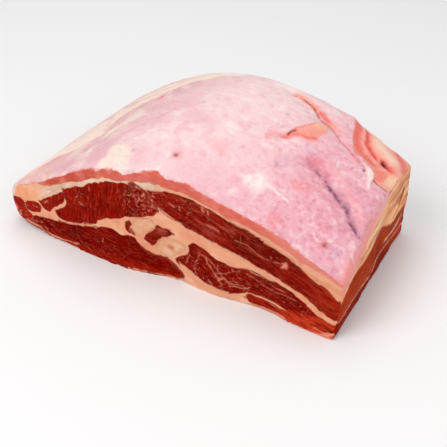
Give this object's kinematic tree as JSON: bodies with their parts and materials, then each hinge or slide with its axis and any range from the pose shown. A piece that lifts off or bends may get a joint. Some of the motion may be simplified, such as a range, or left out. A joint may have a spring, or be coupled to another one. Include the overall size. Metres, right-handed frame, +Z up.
{
  "type": "raw beef rib",
  "caption": "Raw beef rib chunk with a domed membrane top and a cut face showing lean muscle, cream fat seams and rib cartilage; lies flat on its underside.",
  "frame": {"origin": "on the resting surface, under the middle of the bounding box", "axes": "+X along the cut face to its thinner right end, +Y from the cut face to the back, +Z up"},
  "size_m": [0.258, 0.1423, 0.0994],
  "materials": {
    "skin": "moist pale pink membrane over salmon lean",
    "fat": "waxy cream fat",
    "lean": "moist dark red lean with fine fibres",
    "marbled_lean": "moist dark red lean with fat threads",
    "bright_lean": "moist brighter red lean",
    "cartilage": "smooth satin beige cartilage"
  },
  "bodies": {
    "root": {"skin_muscle": "skin", "fat": "fat", "upper_muscle_left": "lean", "upper_muscle_right": "lean", "upper_lobe": "lean", "tip_muscle": "lean", "nose_muscle": "bright_lean", "lower_muscle_left": "lean", "lower_muscle_right": "marbled_lean", "base_muscle": "bright_lean", "seam_lean": "lean", "seam_wedge": "lean", "cartilage_upper": "cartilage", "cartilage_lower": "cartilage"}
  },
  "joints": []
}
